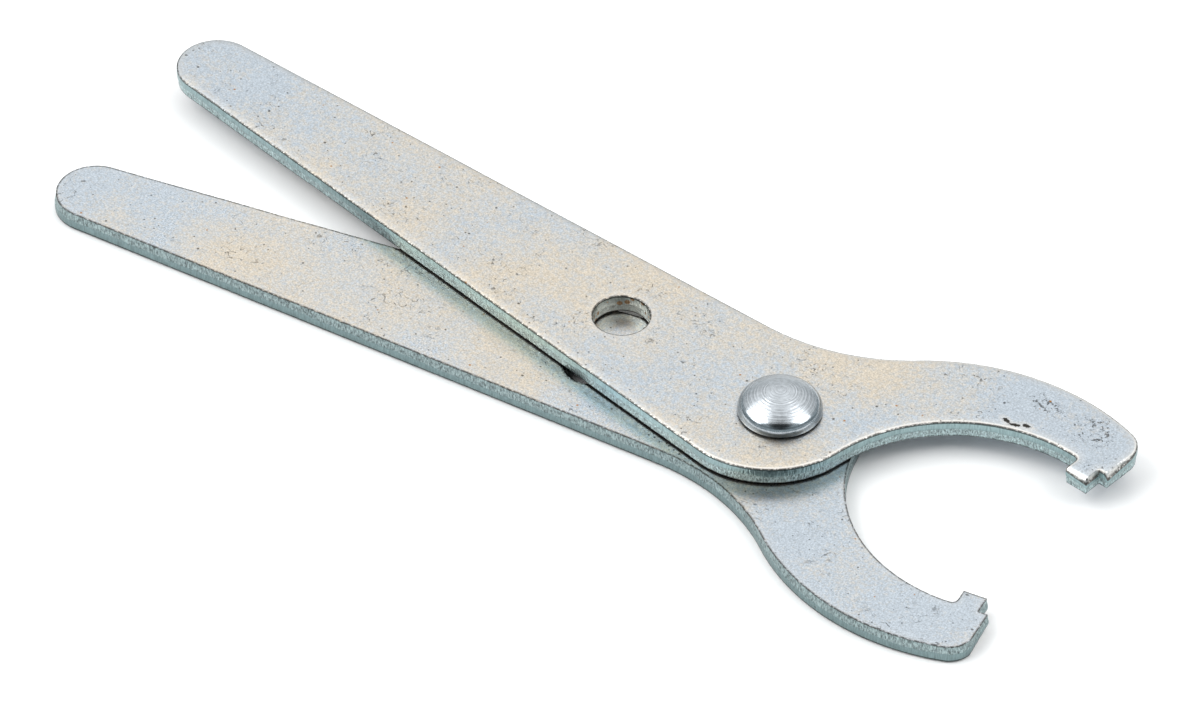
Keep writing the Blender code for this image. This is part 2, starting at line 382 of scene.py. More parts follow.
def face_places(loops, marks, tip_x, seed):
    """Places inside the face: rows that follow each edge, and a lattice between them."""
    outline = loops[0]
    rows = []
    for share in (0.03, 0.09, 0.18, 0.3, 0.45, 0.62, 0.8, 1.0):
        rows.append((0, share * marks["roll_width"]))
    for number in range(1, len(loops)):
        rows += [(number, share * marks["hole_roll_width"]) for share in (0.1, 0.3, 0.6, 1.0)]
        rows += [(number, depth) for depth in (0.75, 1.1, 1.5)]
    kept = []
    for number, depth in rows:
        places = (loops[number] - depth * outward(loops[number]))[:: 1 if depth < 0.5 else 2]
        clear = distance_to(loops[number], places) > 0.97 * depth
        for other in range(len(loops)):
            if other != number:
                clear &= distance_to(loops[other], places) > 0.3
        kept.append(places[clear])
    tip = lattice((tip_x, outline[:, 1].min()), outline.max(axis=0), 0.34, seed)
    body = lattice(outline.min(axis=0), outline.max(axis=0), 1.25, seed + 1)
    body = body[body[:, 0] < tip_x]
    for places, margin in ((tip, 0.25), (body, 0.5)):
        clear = inside(outline, places)
        clear &= distance_to(outline, places) > marks["roll_width"] * (0.9 if margin > 0.4 else 0.2)
        for hole in loops[1:]:
            clear &= ~inside(hole, places) & (distance_to(hole, places) > 1.2)
        kept.append(places[clear])
    return thinned(np.concatenate(kept), 0.08)


def thinned(places, least):
    """The places that keep their distance from all earlier ones."""
    tree = kdtree.KDTree(len(places))
    for i, (x, y) in enumerate(places):
        tree.insert((x, y, 0), i)
    tree.balance()
    gone = set()
    for i, (x, y) in enumerate(places):
        if i not in gone:
            gone.update(j for _, j, _ in tree.find_range((x, y, 0), least) if j > i)
    return places[[i for i in range(len(places)) if i not in gone]]


def triangulated(loops, places):
    """Triangles over the metal between the loops. The loops' own points come first."""
    flat = np.concatenate([*loops, places])
    sides, first = [], 0
    for loop in loops:
        sides += [(first + i, first + (i + 1) % len(loop)) for i in range(len(loop))]
        first += len(loop)
    made = geometry.delaunay_2d_cdt([Vector(p) for p in flat], sides, [], 0, 1e-5)
    sources = [min(given) for given in made[3]]
    faces = np.array([[sources[v] for v in face] for face in made[2]])
    middles = flat[faces].mean(axis=1)
    solid = inside(loops[0], middles)
    for hole in loops[1:]:
        solid &= ~inside(hole, middles)
    faces = faces[solid]
    a, b, c = flat[faces[:, 0]], flat[faces[:, 1]], flat[faces[:, 2]]
    turn = (b[:, 0] - a[:, 0]) * (c[:, 1] - a[:, 1]) - (b[:, 1] - a[:, 1]) * (c[:, 0] - a[:, 0])
    faces[turn < 0] = faces[turn < 0][:, ::-1]
    return flat, faces


def drawn_down(distance, width, depth):
    """How far a face has been drawn down by the die, at a distance in from its edge."""
    near = np.clip(1 - distance / width, 0, 1)
    return depth * (1 - np.sqrt(1 - near**2))


def rippled(places, scale, seed):
    """Smooth noise from -1 to 1 at each place."""
    shift = Vector((seed * 17.3, seed * 5.1, seed * 9.7))
    return np.array([noise.noise(Vector(p) / scale + shift) for p in places])


def ground_down(places, s, root):
    """How far the rolled face has been dressed down: over the lug's end, and steeply at its sides."""
    x, y = places[:, 0], places[:, 1]
    outer = s["jaw_reach"] - s["step_width"]
    inner = outer - s["tooth_width"]
    across = np.clip((x - inner) / s["tooth_width"], 0, 1)
    near_end = np.clip(1 - (y - root + s["tooth_height"]) / 1.25, 0, 1)
    near_end *= np.clip((x - inner + s["notch_radius"]) / 0.3, 0, 1)
    tooth = s["tooth_thinning"] * (0.95 + 0.6 * across) * (1 - np.sqrt(1 - 0.98 * near_end**2))
    on_end = y > root - 0.15
    up = np.clip((y - root) / 7, 0, 1)
    edge = np.where(on_end, s["jaw_reach"], outer)
    reach = s["facet_width"] * np.where(on_end, (1 - up) ** 0.8, 0.7)
    side = np.clip(reach - (edge - x), 0, None) * s["facet_height"] / s["facet_width"]
    return tooth, np.where(x > inner + 1, side, 0)


def countersunk(places, s):
    """How deep the cone for the rivet's tail is below the rolled face."""
    reach = np.hypot(places[:, 0], places[:, 1])
    slope = s["countersink_depth"] * 2 / (s["countersink_diameter"] - s["bore_diameter"])
    return np.clip((s["countersink_diameter"] / 2 - reach) * slope, 0, None)


def stamping(s, marks, lower, seed):
    """One lever in its own frame, burr face down at z = 0.

    It gives the points, the faces of the rolled face, the burr face and the walls, and for each
    point its distance from an edge, whether it is on torn metal, and a mask that is the painted shade
    under the upper lever's edges on the burr face and 1 on the hanging hole's wall.
    Torn metal is 1 and smooth metal 0. Right under the rolled edge it is -1, and at the burr 2.
    """
    outline, root = lever_outline(s, marks["grain"])
    outline = outline + marks["spread"] * outward(outline)
    hole_x, hole_y = -s["hole_reach"], -s["handle_offset"]
    if lower:
        hole_x, hole_y = hole_x + s["hole_drift_x"], hole_y + s["hole_drift_y"]
    hole = hole_outline(hole_x, hole_y, s["hole_diameter"], marks["grain"])
    bore = hole_outline(0, 0, s["bore_diameter"], marks["grain"])
    loops = [outline, hole, bore]
    tip_x = s["jaw_reach"] - s["step_width"] - s["tooth_width"] - 4
    flat, triangles = triangulated(loops, face_places(loops, marks, tip_x, seed))

    from_edge = distance_to(outline, flat)
    from_hole = np.abs(np.hypot(flat[:, 0] - hole_x, flat[:, 1] - hole_y) - s["hole_diameter"] / 2)
    deep = np.column_stack([flat, np.zeros(len(flat))])
    # Painted shade: the upper lever's underside is darkened 1 mm in from its edges, fading out by 1.5 mm,
    # from the handle's end to the neck, so that the gap over the lower lever looks black at every angle.
    gap_shade_and_hole_wall = np.zeros(len(flat))
    if not lower:
        packed = np.clip((1.5 - np.minimum(from_edge, from_hole)) / 0.5, 0, 1)
        gap_shade_and_hole_wall = packed * np.clip((16 - flat[:, 0]) / 4, 0, 1)
    roll = drawn_down(from_edge, marks["roll_width"], marks["roll_depth"])
    roll *= 1 + 0.18 * rippled(deep, 11, seed)
    hole_roll = drawn_down(from_hole, marks["hole_roll_width"], marks["hole_roll_depth"])
    tooth, facet = ground_down(flat, s, root)
    sunk = countersunk(flat, s) if lower else np.zeros(len(flat))
    drop = (roll**4 + hole_roll**4 + tooth**4 + facet**4 + sunk**4) ** 0.25
    wave = 0.012 * rippled(deep, 9, seed + 3) * np.clip(from_edge, 0, 2) / 2
    top = s["sheet"] - drop - np.abs(wave)

    lean = marks["tear_inset"] * np.clip(1 - from_edge / 0.9, 0, 1) * (
        1 + 0.5 * rippled(deep, 14, seed + 5)
    )
    normals = np.zeros_like(flat)
    nearest = kdtree.KDTree(len(outline))
    for i, (x, y) in enumerate(outline):
        nearest.insert((x, y, 0), i)
    nearest.balance()
    out = outward(outline)
    for i in np.flatnonzero(lean > 0):
        normals[i] = out[nearest.find((flat[i][0], flat[i][1], 0))[1]]
    bottom_flat = flat - lean[:, None] * normals
    nicks = np.clip(rippled(deep, 0.9, seed + 7), 0.1, 1) - 0.1
    bottom = 0.09 * nicks * np.clip(1 - from_edge / 0.35, 0, 1) + np.abs(wave)

    points = [np.column_stack([flat, top]), np.column_stack([bottom_flat, bottom])]
    quads, hole_wall = [], []
    wear = [np.minimum(from_edge, from_hole)] * 2
    torn = [np.zeros(len(flat)), np.where(np.minimum(from_edge, from_hole) > 0.01, 1.0, 2.0)]
    count, first = 2 * len(flat), 0
    for number, loop in enumerate(loops):
        place = np.arange(first, first + len(loop))
        first += len(loop)
        out = outward(loop)
        edge_top, edge_bottom = top[place], bottom[place]
        edge_lean = lean[place] if number == 0 else np.zeros(len(loop))
        rounded = np.column_stack([loop, np.zeros(len(loop))])
        split = marks["tear_height"] * (
            1 + 0.16 * rippled(rounded, 6, seed + 9) + 0.1 * rippled(rounded, 1.1, seed + 11)
        )
        split = np.minimum(split, edge_bottom + 0.62 * (edge_top - edge_bottom))
        above = [place]
        for share in (0.04, 0.1, 0.18, 0.32, 0.55, 0.8, 0.96):
            height = edge_top + (split - edge_top) * share
            bulge = 0.02 * math.sin(math.pi * share)
            tear = -1 if share < 0.15 else 0
            above.append(add_ring(points, wear, torn, loop + bulge * out, height, tear, count))
            count += len(loop)
        for share in (0.04, 0.13, 0.24, 0.36, 0.48, 0.6, 0.72, 0.84, 0.94):
            height = split + (edge_bottom - split) * share
            solid = np.column_stack([loop, height])
            grain = rippled(solid, 0.42, seed + 13) + 0.6 * rippled(solid, 0.2, seed + 15)
            ledge = 0.035 + grain * marks["tear_roughness"] * min(1, 3 * (1 - share), 8 * share)
            inset = np.clip(edge_lean * share**0.8 + ledge * (1 - share * 0.6), -0.01, None)
            tear = 1.6 if share > 0.9 else 1
            above.append(add_ring(points, wear, torn, loop - inset[:, None] * out, height, tear, count))
            count += len(loop)
        hole_wall.append(np.full((len(above) - 1) * len(loop), float(number == 1)))
        above.append(place + len(flat))
        for high, low in zip(above, above[1:]):
            quads.append(np.column_stack([low, np.roll(low, -1), np.roll(high, -1), high]))
    return (
        np.concatenate(points),
        triangles,
        triangles[:, ::-1] + len(flat),
        np.concatenate(quads),
        np.concatenate(wear),
        np.concatenate(torn),
        np.concatenate([np.zeros(len(flat)), gap_shade_and_hole_wall, *hole_wall]),
    )


def add_ring(points, wear, torn, flat, height, tear, count):
    """Adds one ring of a wall, and returns its points' numbers."""
    points.append(np.column_stack([flat, height]))
    wear.append(np.zeros(len(flat)))
    torn.append(np.full(len(flat), float(tear)))
    return np.arange(count, count + len(flat))


def lever_piece(name, settings, placing, lower, seed, materials):
    s, marks = in_millimetres(settings.lever), in_millimetres(settings.press)
    points, rolled, burred, walls, wear, torn, gap_shade_and_hole_wall = stamping(s, marks, lower, seed)
    mesh = bpy.data.meshes.new(name)
    faces = rolled.tolist() + burred.tolist() + walls.tolist()
    mesh.from_pydata(points * MM, [], faces)
    for key, values in (("edge_distance", wear), ("torn", torn), ("gap_shade_and_hole_wall", gap_shade_and_hole_wall)):
        attribute = mesh.attributes.new(key, "FLOAT", "POINT")
        attribute.data.foreach_set("value", values.astype(np.float32))
    slots = [0] * len(rolled) + [1] * len(burred) + [2] * len(walls)
    for material in materials:
        mesh.materials.append(material)
    mesh.polygons.foreach_set("material_index", slots)
    mesh.transform(placing)
    mesh.shade_smooth()
    mesh.set_sharp_from_angle(angle=math.radians(38))
    mesh.validate()
    mesh.update()
    piece = bpy.data.objects.new(name, mesh)
    bpy.context.scene.collection.objects.link(piece)
    return piece


# Materials

# Marks of use, in millimetres in the frame of the tool at rest. Each is an ellipse with a ragged
# edge, given as its middle's x and y, its length, its width, and its turn in degrees.
WORMS = [(25.85, 15.6, 1.5, 0.75, -16), (27.25, 15.5, 1.9, 0.62, 20), (28.65, 16.2, 1.4, 0.75, 0)]
ROLLED_STAINS = [
    (37.6, 19.1, 1.1, 0.4, 50),
    (38.6, 20.6, 0.8, 0.35, 75),
    (28.0, 20.7, 1.2, 0.4, -30),
    (-108.3, 13.4, 0.6, 0.4, 0),
    (-108.1, 14.8, 0.5, 0.3, 60),
    (-107.7, 15.6, 0.4, 0.3, 20),
]
BURRED_STAINS = [
    (38.2, -12.9, 0.6, 0.4, 10),
    (42.3, -18.0, 0.5, 0.4, 0),
    (-108.8, -11.8, 0.5, 0.4, 0),
    (-106.2, -13.3, 0.9, 0.3, 35),
]
JAW_WEAR = [(36.5, 20.5, 8, 7, 40), (28.5, 21.2, 7, 3.5, -15)]
MIRED = [(-11.5, -11.2, 14, 1.9, -14)]


def add(tree, kind, inputs=(), **settings):
    """Adds a node with its settings, and sets or links its inputs."""
    node = tree.nodes.new(kind)
    for name, value in settings.items():
        setattr(node, name, value)
    for name, value in dict(inputs).items():
        if isinstance(value, bpy.types.NodeSocket):
            tree.links.new(value, node.inputs[name])
        else:
            node.inputs[name].default_value = value
    return node


def new_material(name):
    material = bpy.data.materials.new(name)
    material.use_nodes = True
    tree = material.node_tree
    tree.nodes.clear()
    surface = add(tree, "ShaderNodeBsdfPrincipled")
    add(tree, "ShaderNodeOutputMaterial", {"Surface": surface.outputs[0]})
    return material, tree, surface


def millimetre_place(tree, stretch=(1, 1, 1)):
    """Object coordinates in millimetres, stretched by so many times along each axis."""
    place = add(tree, "ShaderNodeTexCoord").outputs["Object"]
    scale = [1 / MM / by for by in stretch]
    return add(tree, "ShaderNodeMapping", {"Vector": place, "Scale": scale}).outputs[0]


def flecks(tree, place, spacing, reach, share, dimensions="2D", softness=0.05):
    """1 inside marks about a spacing apart, up to a reach across, on a share of the places."""
    cells = add(
        tree,
        "ShaderNodeTexVoronoi",
        {"Vector": place, "Scale": 1 / spacing},
        voronoi_dimensions=dimensions,
    )
    chance = add(tree, "ShaderNodeSeparateColor", {"Color": cells.outputs["Color"]})
    size = add(
        tree,
        "ShaderNodeMapRange",
        {
            "Value": chance.outputs[0],
            "From Min": 1 - share,
            "From Max": 1,
            "To Min": -softness,
            "To Max": reach / 2 / spacing,
        },
    )
    inner = add(
        tree,
        "ShaderNodeMath",
        {0: size.outputs[0], 1: cells.outputs["Distance"]},
        operation="SUBTRACT",
    )
    return add(
        tree,
        "ShaderNodeMath",
        {0: inner.outputs[0], 1: softness},
        operation="DIVIDE",
        use_clamp=True,
    ).outputs[0]


def clouds(tree, place, size, detail=3.0, roughness=0.55, low=0.35, high=0.65):
    """Cloudy noise from 0 to 1, in patches of about a size."""
    cloud = add(
        tree,
        "ShaderNodeTexNoise",
        {"Vector": place, "Scale": 1 / size, "Detail": detail, "Roughness": roughness},
    )
    return add(
        tree,
        "ShaderNodeMapRange",
        {"Value": cloud.outputs[0], "From Min": low, "From Max": high},
    ).outputs[0]


def scuffs(tree, place, spacing, width, where):
    """1 on short crooked scratches about a spacing apart, only where another pattern is high."""
    path = add(
        tree,
        "ShaderNodeTexNoise",
        {"Vector": place, "Scale": 1 / spacing, "Detail": 1.5, "Distortion": 0.6},
    )
    off = add(
        tree,
        "ShaderNodeMath",
        {0: path.outputs[0], 1: 0.5, 2: width / spacing},
        operation="COMPARE",
    ).outputs[0]
    broken = clouds(tree, place, 0.8, 2, 0.6, 0.5, 0.56)
    shown = add(tree, "ShaderNodeMath", {0: where, 1: broken}, operation="MULTIPLY").outputs[0]
    return add(tree, "ShaderNodeMath", {0: off, 1: shown}, operation="MULTIPLY").outputs[0]


def stains(tree, place, spots, reach=1.0, ragged=0.5):
    """1 on each spot, given as its middle, length, width and turn, and 0 away from them."""
    wobble = clouds(tree, place, 0.3, 2, 0.6, 0.3, 0.7)
    most = 0.0
    for x, y, long, wide, turn in spots:
        scale = (long / 2 * reach, wide / 2 * reach, 1 / MM)
        about = {
            "Vector": place,
            "Location": (x, y, 0),
            "Rotation": (0, 0, math.radians(turn)),
            "Scale": scale,
        }
        here = add(tree, "ShaderNodeMapping", about, vector_type="TEXTURE").outputs[0]
        far = add(tree, "ShaderNodeVectorMath", {0: here}, operation="LENGTH").outputs["Value"]
        far = add(
            tree,
            "ShaderNodeMath",
            {0: wobble, 1: ragged, 2: far},
            operation="MULTIPLY_ADD",
        ).outputs[0]
        spot = add(
            tree,
            "ShaderNodeMapRange",
            {"Value": far, "From Min": 1.25, "From Max": 0.95},
        ).outputs[0]
        most = add(tree, "ShaderNodeMath", {0: spot, 1: most}, operation="MAXIMUM").outputs[0]
    return most


def coated(tree, skin, coats):
    """A colour under further coats, each given as where it lies (0 to 1), how dense, and its colour."""
    for where, dense, over in coats:
        share = add(tree, "ShaderNodeMath", {0: where, 1: dense}, operation="MULTIPLY").outputs[0]
        skin = add(tree, "ShaderNodeMix", {0: share, 6: skin, 7: (*over, 1)}, data_type="RGBA").outputs[2]
    return skin


def zinc_face(name, finish, rolled):
    """Zinc plated cold rolled steel: a pale satin metal, warm and bluish by turns, pitted and scuffed."""
    material, tree, surface = new_material(name)
    place = millimetre_place(tree)
    distance = add(tree, "ShaderNodeAttribute", attribute_name="edge_distance").outputs["Fac"]
    # Painted shade under the upper lever's edges, on the burr face only, and the hanging hole's wall.
    gap_shade_and_hole_wall = add(tree, "ShaderNodeAttribute", attribute_name="gap_shade_and_hole_wall").outputs["Fac"]
    patches = clouds(tree, place, 17, 5, 0.62, 0.32, 0.68)
    # Handling has warmed the middle of the tool, and left the jaws and the handles' ends cool.
    along = add(tree, "ShaderNodeSeparateXYZ", {0: place}).outputs[0]
    start, full = (8, 32) if rolled else (-3, 12)
    jaw = add(
        tree,
        "ShaderNodeMapRange",
        {"Value": along, "From Min": start, "From Max": full, "To Max": -0.7},
    ).outputs[0]
    grip = add(
        tree,
        "ShaderNodeMapRange",
        {"Value": along, "From Min": -80, "From Max": -108, "To Max": -0.6},
    ).outputs[0]
    ends = add(tree, "ShaderNodeMath", {0: jaw, 1: grip}, operation="ADD").outputs[0]
    # The crystals of the plating are under 0.05 mm, and are drawn at 0.24 mm so that their sparkle shows.
    grain = add(
        tree,
        "ShaderNodeTexNoise",
        {"Vector": place, "Scale": 1 / 0.24, "Detail": 2, "Roughness": 0.75},
    )
    tone = add(
        tree,
        "ShaderNodeTexNoise",
        {"Vector": place, "Scale": 1 / 0.55, "Detail": 1, "Roughness": 0.5},
    )
    tinge = add(
        tree,
        "ShaderNodeMapRange",
        {"Value": tone.outputs[0], "From Min": 0.3, "From Max": 0.7, "To Min": -0.25, "To Max": 0.33},
    ).outputs[0]
    warm = add(tree, "ShaderNodeMath", {0: patches, 1: ends}, operation="ADD").outputs[0]
    warm = add(tree, "ShaderNodeMath", {0: warm, 1: tinge}, operation="ADD", use_clamp=True).outputs[0]
    skin = coated(tree, (*finish.zinc_cool, 1), [(warm, 1.0, finish.zinc_warm)])
    shade = add(
        tree,
        "ShaderNodeMapRange",
        {"Value": grain.outputs[0], "From Min": 0.3, "From Max": 0.7, "To Min": 0.74, "To Max": 1.27},
    )
    skin = add(tree, "ShaderNodeVectorMath", {0: skin, 3: shade.outputs[0]}, operation="SCALE").outputs[0]
    # The drawn-down edge is rubbed bright, and dirt sits in the angle where it meets the wall.
    rubbed = add(
        tree,
        "ShaderNodeMapRange",
        {"Value": distance, "From Min": 0.1, "From Max": 1.5, "To Min": 1, "To Max": 0},
    ).outputs[0]
    ragged = clouds(tree, place, 0.4, 2, 0.6, 0.28, 0.5)
    reach = 0.26 if rolled else 0.4
    line = add(
        tree,
        "ShaderNodeMapRange",
        {"Value": distance, "From Min": 0.1, "From Max": reach, "To Min": 1, "To Max": 0},
    ).outputs[0]
    line = add(tree, "ShaderNodeMath", {0: line, 1: ragged}, operation="MULTIPLY").outputs[0]
    # Painted highlight: a bright line along the rim and over the jaw's facets, strongest round the pivot
    # and the jaw, and much fainter on the burr face.
    highlight_share = add(
        tree,
        "ShaderNodeMapRange",
        {"Value": along, "From Min": -18, "From Max": -4, "To Min": 0, "To Max": 0.75},
    ).outputs[0]
    rim_highlight = add(
        tree,
        "ShaderNodeMapRange",
        {
            "Value": distance,
            "From Min": 0.24,
            "From Max": 0.5,
            "To Min": 1 if rolled else 0.15,
            "To Max": 0,
        },
    ).outputs[0]
    rim_highlight = add(tree, "ShaderNodeMath", {0: rim_highlight, 1: highlight_share}, operation="MULTIPLY").outputs[0]
    busy = clouds(tree, place, 6, 2, 0.5, 0.52, 0.66)
    pits = flecks(tree, place, 1.1, 0.34, 0.28, softness=0.06)
    spots = flecks(tree, place, 3.4, 0.46, 0.4, softness=0.025)
    scratches = scuffs(tree, place, 1.7, 0.032, busy)
    nicks = scuffs(tree, place, 0.75, 0.05, stains(tree, place, JAW_WEAR if rolled else [], 1, 0.9))
    knocks = stains(tree, place, ROLLED_STAINS if rolled else BURRED_STAINS)
    halo = stains(tree, place, WORMS if rolled else [], 1.9, 0.3)
    worms = stains(tree, place, WORMS if rolled else [])
    mired = stains(tree, place, [] if rolled else MIRED, 1, 0.9)
    mired = add(
        tree,
        "ShaderNodeMath",
        {0: mired, 1: flecks(tree, place, 0.5, 0.42, 0.6, softness=0.1)},
        operation="MULTIPLY",
    ).outputs[0]
    rust = flecks(tree, place, 4.1, 0.46, 0.4, softness=0.03)
    skin = coated(
        tree,
        skin,
        [
            (rubbed, 0.3 if rolled else 0.12, finish.zinc_worn),
            (rim_highlight, 1.0, finish.zinc_bright_and_highlight),
            (halo, 0.3, finish.zinc_worn),
            (spots, 0.75, finish.grime_and_painted_shade),
            (pits, 0.7, finish.grime_and_painted_shade),
            (scratches, 0.6, finish.grime_and_painted_shade),
            (nicks, 0.75, finish.grime_and_painted_shade),
            (knocks, 0.7, finish.grime_and_painted_shade),
            (worms, 0.97, finish.grime_and_painted_shade),
            (mired, 0.85, finish.grime_and_painted_shade),
            (rust, 0.85, finish.rust),
            (line, 0.88, finish.grime_and_painted_shade),
            # Painted shade: near-black under the upper lever's edges, so that the gap looks black.
            (gap_shade_and_hole_wall, 0.985, finish.grime_and_painted_shade),
        ],
    )
    tree.links.new(skin, surface.inputs["Base Color"])
    surface.inputs["Metallic"].default_value = 1
    # The burr face lay flat on the die and came out glossier.
    satin = 0.34 if rolled else 0.25
    dull = add(
        tree,
        "ShaderNodeMapRange",
        {"Value": patches, "To Min": satin, "To Max": satin + 0.07},
    ).outputs[0]
    dull = add(tree, "ShaderNodeMath", {0: gap_shade_and_hole_wall, 1: 0.5, 2: dull}, operation="MULTIPLY_ADD").outputs[0]
    tree.links.new(dull, surface.inputs["Roughness"])
    sunk = add(tree, "ShaderNodeMath", {0: spots, 1: scratches}, operation="MAXIMUM").outputs[0]
    sunk = add(tree, "ShaderNodeMath", {0: sunk, 1: pits}, operation="MAXIMUM").outputs[0]
    height = add(
        tree,
        "ShaderNodeMath",
        {0: grain.outputs[0], 1: 0.35, 2: sunk},
        operation="MULTIPLY_ADD",
    ).outputs[0]
    bump = add(tree, "ShaderNodeBump", {"Height": height, "Distance": -0.014 * MM, "Strength": 1})
    tree.links.new(bump.outputs[0], surface.inputs["Normal"])
    return material


def cut_edge(name, finish, shade, in_hole):
    """Edge of blanked steel under thin zinc: a burnished band, and a grainy one where the sheet tore.

    The burnished band shines evenly and the torn one glitters. A coat on the hanging hole's wall is
    given as how dense it is and its colour; on the lower lever it is painted shade down in the hole.
    """
    material, tree, surface = new_material(name)
    place = millimetre_place(tree)
    torn = add(tree, "ShaderNodeAttribute", attribute_name="torn").outputs["Fac"]
    # Upright scores of the die: drawn coarser than the real ones, which are under 0.1 mm.
    scores = clouds(tree, millimetre_place(tree, (0.8, 0.8, 5)), 0.3, 2, 0.6, 0.3, 0.7)
    grains = clouds(tree, millimetre_place(tree, (0.8, 0.8, 1.8)), 0.3, 3, 0.7, 0.34, 0.66)
    # The shade argument scales both bands' colours: the lower lever gets a darker copy of the same edge,
    # which is painted shade.
    dark, bright = ([c * shade * by for c in finish.torn] for by in (0.42, 1.7))
    between, burnished = ([c * shade * by for c in finish.sheared] for by in (0.66, 0.98))
    smooth = coated(tree, (*between, 1), [(scores, 1.0, burnished)])
    rough = coated(tree, (*dark, 1), [(grains, 1.0, [min(1, c) for c in bright])])
    # The burnished band fades into the torn one over a ragged line.
    ragged = clouds(tree, place, 0.45, 2, 0.6, 0.25, 0.75)
    edge = add(tree, "ShaderNodeMath", {0: torn, 1: 1.8, 2: -0.4}, operation="MULTIPLY_ADD").outputs[0]
    share = add(tree, "ShaderNodeMath", {0: edge, 1: ragged}, operation="SUBTRACT").outputs[0]
    share = add(tree, "ShaderNodeMath", {0: share, 1: 0.5}, operation="ADD", use_clamp=True).outputs[0]
    skin = add(tree, "ShaderNodeMix", {0: share, 6: smooth, 7: rough}, data_type="RGBA").outputs[2]
    # Dirt gathers along the burr and under the drawn-down edge.
    specks = flecks(tree, place, 1.3, 0.34, 0.25, "3D", 0.05)
    rust = flecks(tree, place, 2.6, 0.75, 0.34, "3D", 0.05)
    under_roll = add(
        tree,
        "ShaderNodeMapRange",
        {"Value": torn, "From Min": -0.2, "From Max": -0.8},
    ).outputs[0]
    burr = add(tree, "ShaderNodeMapRange", {"Value": torn, "From Min": 1.15, "From Max": 1.7}).outputs[0]
    broken = clouds(tree, place, 0.35, 2, 0.6, 0.3, 0.55)
    # On the hanging hole's wall the dirt along the burr runs unbroken and rust blooms in spots. The wall
    # also takes the coat given for the hole, which on the lower lever is painted shade.
    hole_wall = add(tree, "ShaderNodeAttribute", attribute_name="gap_shade_and_hole_wall").outputs["Fac"]
    broken = add(tree, "ShaderNodeMath", {0: broken, 1: hole_wall}, operation="MAXIMUM").outputs[0]
    burr = add(tree, "ShaderNodeMath", {0: burr, 1: broken}, operation="MULTIPLY").outputs[0]
    blooms = flecks(tree, place, 0.8, 0.95, 0.7, "3D", 0.12)
    blooms = add(tree, "ShaderNodeMath", {0: blooms, 1: hole_wall}, operation="MULTIPLY").outputs[0]
    coats = [
        (hole_wall, *in_hole),
        (specks, 0.6, finish.grime_and_painted_shade),
        (rust, 0.8, finish.rust),
        (blooms, 0.75, finish.rust),
        (under_roll, 0.9, finish.grime_and_painted_shade),
        (burr, 0.95, finish.grime_and_painted_shade),
    ]
    skin = coated(tree, skin, coats)
    tree.links.new(skin, surface.inputs["Base Color"])
    surface.inputs["Metallic"].default_value = 1
    dull = add(tree, "ShaderNodeMapRange", {"Value": torn, "To Min": 0.3, "To Max": 0.42})
    tree.links.new(dull.outputs[0], surface.inputs["Roughness"])
    height = add(tree, "ShaderNodeMix", {0: torn, 2: scores, 3: grains}).outputs[0]
    bump = add(tree, "ShaderNodeBump", {"Height": height, "Distance": 0.06 * MM, "Strength": 1})
    tree.links.new(bump.outputs[0], surface.inputs["Normal"])
    return material


def turned_steel(finish):
    """Bright turned steel: fine rings round the axis, so a highlight spreads into bands."""
    material, tree, surface = new_material("Turned bright steel")
    place = add(tree, "ShaderNodeTexCoord").outputs["Object"]
    flat = add(tree, "ShaderNodeVectorMath", {0: place, 1: (1, 1, 0)}, operation="MULTIPLY")
    radius = add(tree, "ShaderNodeVectorMath", {0: flat.outputs[0]}, operation="LENGTH").outputs["Value"]
    # Tool marks run round the axis: noise on the radius alone, drawn coarser than the real 0.05 mm.
    rings = add(
        tree,
        "ShaderNodeTexNoise",
        {"W": radius, "Scale": 1 / (0.16 * MM), "Detail": 2, "Roughness": 0.6},
        noise_dimensions="1D",
    )
    shade = add(
        tree,
        "ShaderNodeMapRange",
        {"Value": rings.outputs[0], "From Min": 0.3, "From Max": 0.7, "To Min": 0.72, "To Max": 1.16},
    )
    mottled = clouds(tree, millimetre_place(tree), 0.5, 3, 0.65, 0.36, 0.64)
    mottled = add(tree, "ShaderNodeMapRange", {"Value": mottled, "To Min": 0.86, "To Max": 1.08}).outputs[0]
    shade = add(tree, "ShaderNodeMath", {0: shade.outputs[0], 1: mottled}, operation="MULTIPLY").outputs[0]
    skin = add(tree, "ShaderNodeVectorMath", {0: finish.turned, 3: shade}, operation="SCALE").outputs[0]
    marks = flecks(tree, millimetre_place(tree), 1.3, 0.24, 0.3, "3D", 0.05)
    skin = coated(tree, skin, [(marks, 0.75, finish.grime_and_painted_shade)])
    tree.links.new(skin, surface.inputs["Base Color"])
    surface.inputs["Metallic"].default_value = 1
    # The crown is satin from the tool, and the shoulder is rubbed shiny.
    dull = add(
        tree,
        "ShaderNodeMapRange",
        {"Value": radius, "From Min": 4.4 * MM, "From Max": 5.0 * MM, "To Min": 0.3, "To Max": 0.16},
    )
    tree.links.new(dull.outputs[0], surface.inputs["Roughness"])
    bump = add(tree, "ShaderNodeBump", {"Height": rings.outputs[0], "Distance": 0.01 * MM, "Strength": 1})
    tree.links.new(bump.outputs[0], surface.inputs["Normal"])
    return material


# The rivet, turned by Geometry Nodes


